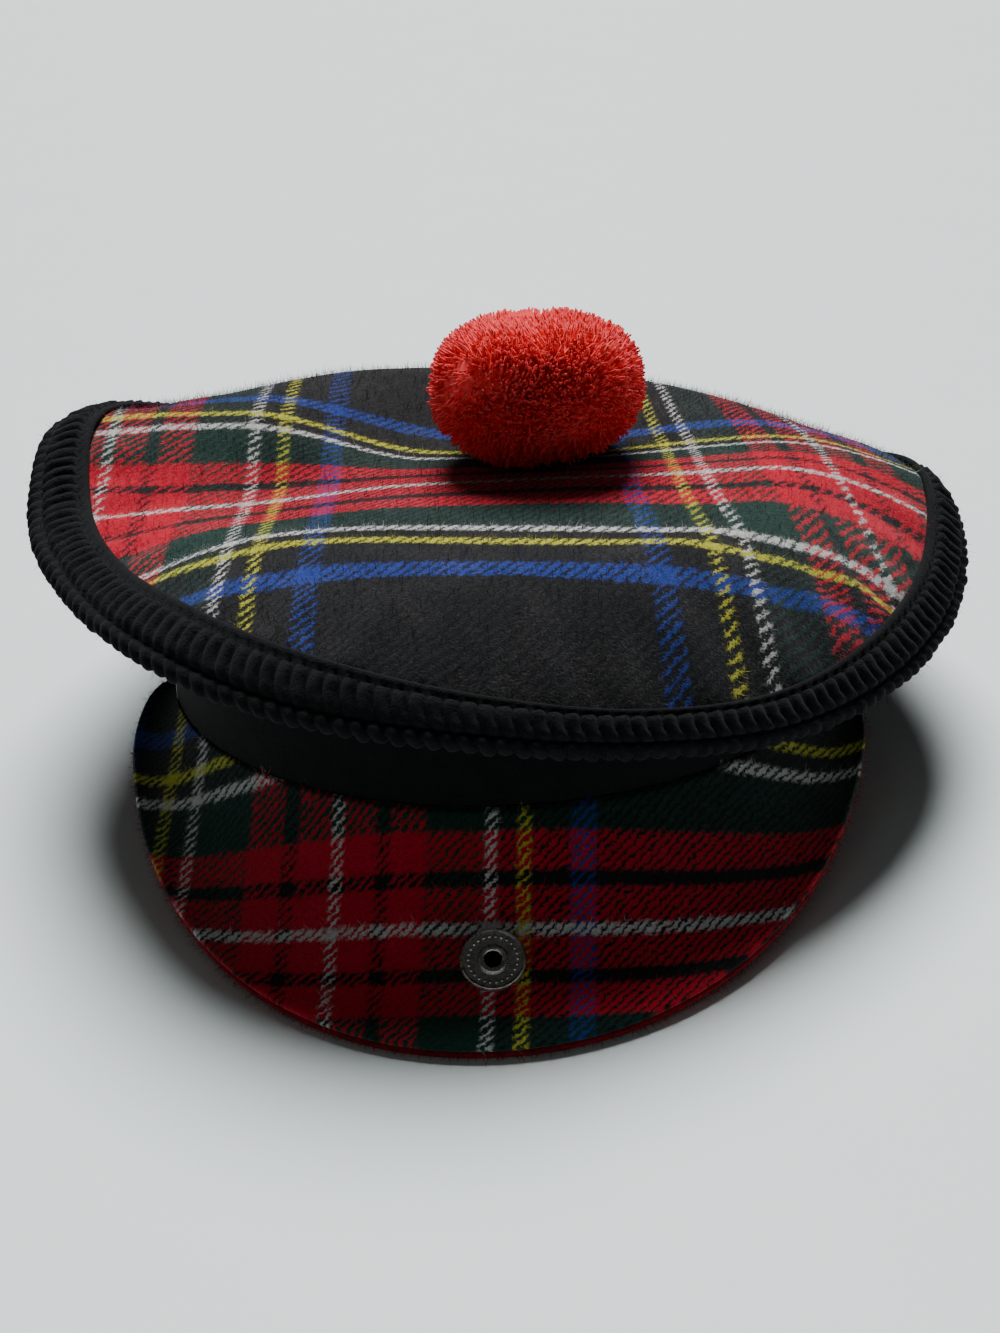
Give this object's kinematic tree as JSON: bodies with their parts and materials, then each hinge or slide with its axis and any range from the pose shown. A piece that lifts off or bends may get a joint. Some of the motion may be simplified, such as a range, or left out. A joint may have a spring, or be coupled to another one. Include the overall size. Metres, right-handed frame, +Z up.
{
  "type": "tam o shanter with peak",
  "caption": "Round tartan wool tam with a dark ribbed edging, a red pompom, a plain headband and a drooping cloth-covered peak with a press stud.",
  "frame": {"origin": "middle of the hat's box, on the surface that it rests on", "axes": "+Z up, the front with the peak towards -Y, the wearer's left towards +X; the hat lies tipped back 9 degrees on the back of its band and the front edge of its peak"},
  "size_m": [0.2436, 0.2606, 0.104],
  "materials": {
    "tartan_wool": "brushed fulled wool tartan, red, green, black and blue with white and yellow lines",
    "facing_wool": "plain red wool",
    "dark_wool": "plain dark wool",
    "braid_black": "ribbed knitted edging, black",
    "pompom_red": "cut wool yarn, red",
    "nickel": "bright nickel plate"
  },
  "bodies": {
    "root": {"crown_top": "tartan_wool", "under_crown": "dark_wool", "rim_braid": "braid_black", "headband": "dark_wool", "peak_cover": "tartan_wool", "peak_facing": "facing_wool", "pompom": "pompom_red", "snap_socket": "nickel", "snap_stud": "nickel"}
  },
  "joints": []
}
